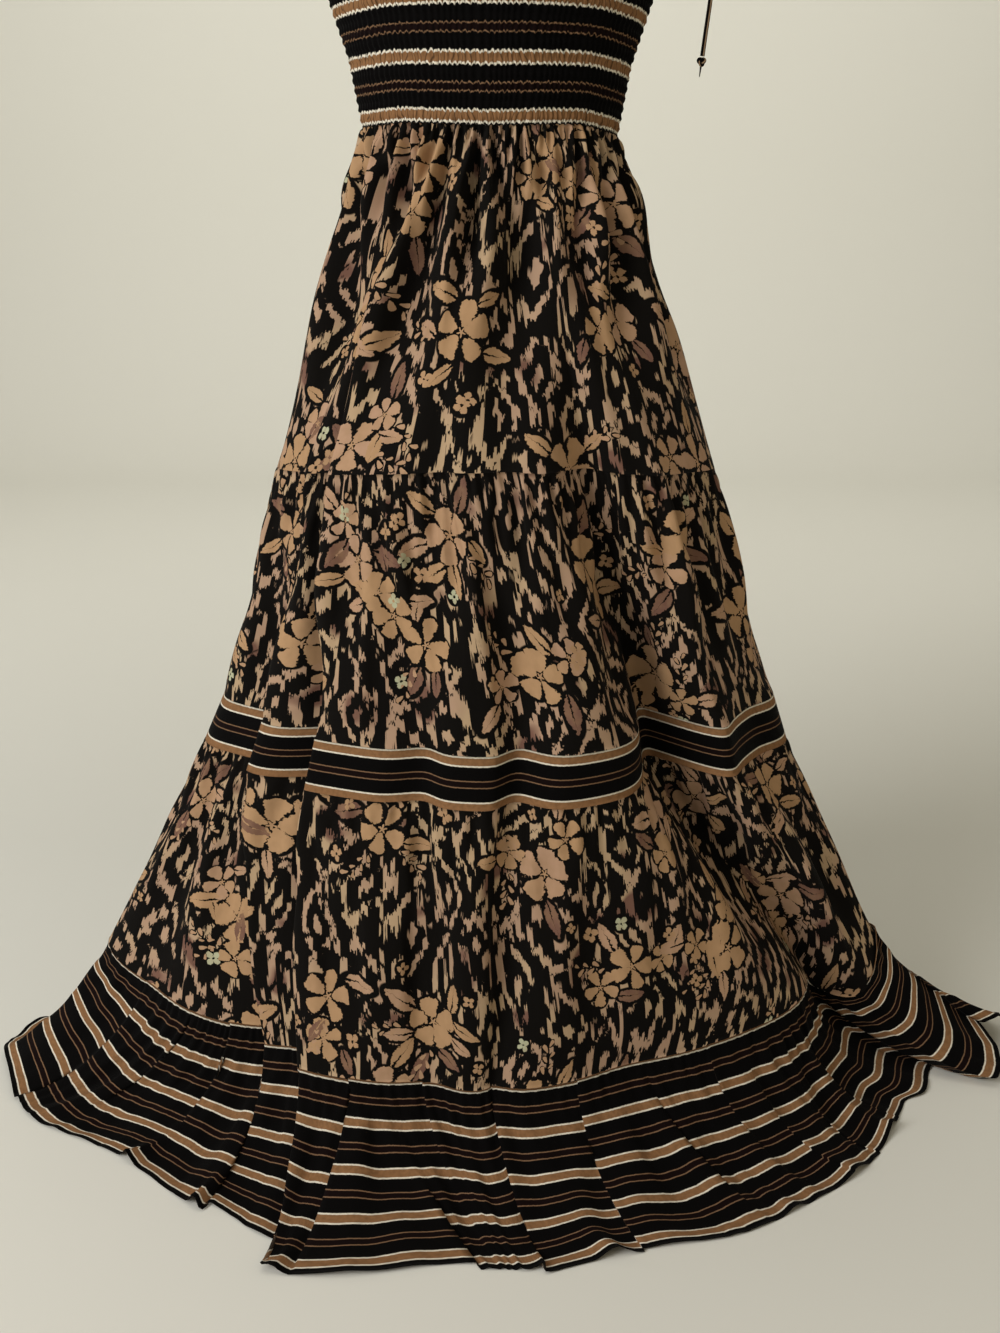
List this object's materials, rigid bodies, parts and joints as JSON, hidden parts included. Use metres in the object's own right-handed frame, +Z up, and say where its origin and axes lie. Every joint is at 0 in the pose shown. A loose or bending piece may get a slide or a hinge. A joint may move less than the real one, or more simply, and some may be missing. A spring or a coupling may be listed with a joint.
{
  "type": "maxi dress",
  "caption": "Worn maxi dress with a smocked striped bodice on shoulder ties, a printed tiered skirt, a striped band and a striped ruffle that spreads on the floor.",
  "frame": {"origin": "centre of the waist, where the wearer holds the dress up", "axes": "+Z up the body, -Y the way the wearer faces, +X to the right of whoever looks at the front"},
  "size_m": [1.1448, 0.7175, 1.3932],
  "materials": {
    "smocked_stripe": "matte, shirred into fine puckers",
    "printed_crepe": "matte light crepe, floral and ikat print on near-black",
    "striped_crepe": "matte light crepe, woven-look cross stripes",
    "tie_cloth": "matte turned-through tie"
  },
  "bodies": {
    "root": {"bodice_front": "smocked_stripe", "bodice_back": "smocked_stripe", "tier1_front": "printed_crepe", "tier1_back": "printed_crepe", "tier2_front": "printed_crepe", "tier2_back": "printed_crepe", "band_front": "striped_crepe", "band_back": "striped_crepe", "tier3_front": "printed_crepe", "tier3_back": "printed_crepe", "ruffle_front": "striped_crepe", "ruffle_back": "striped_crepe", "strap_front_right": "tie_cloth", "strap_back_right": "tie_cloth", "shoulder_knot_right": "tie_cloth", "strap_front_left": "tie_cloth", "strap_back_left": "tie_cloth", "shoulder_knot_left": "tie_cloth", "tie_tail_right_long": "tie_cloth", "tie_end_right_long": "tie_cloth", "tie_tail_right_short": "tie_cloth", "tie_end_right_short": "tie_cloth", "tie_tail_left_long": "tie_cloth", "tie_end_left_long": "tie_cloth", "tie_tail_left_short": "tie_cloth", "tie_end_left_short": "tie_cloth"}
  },
  "joints": []
}
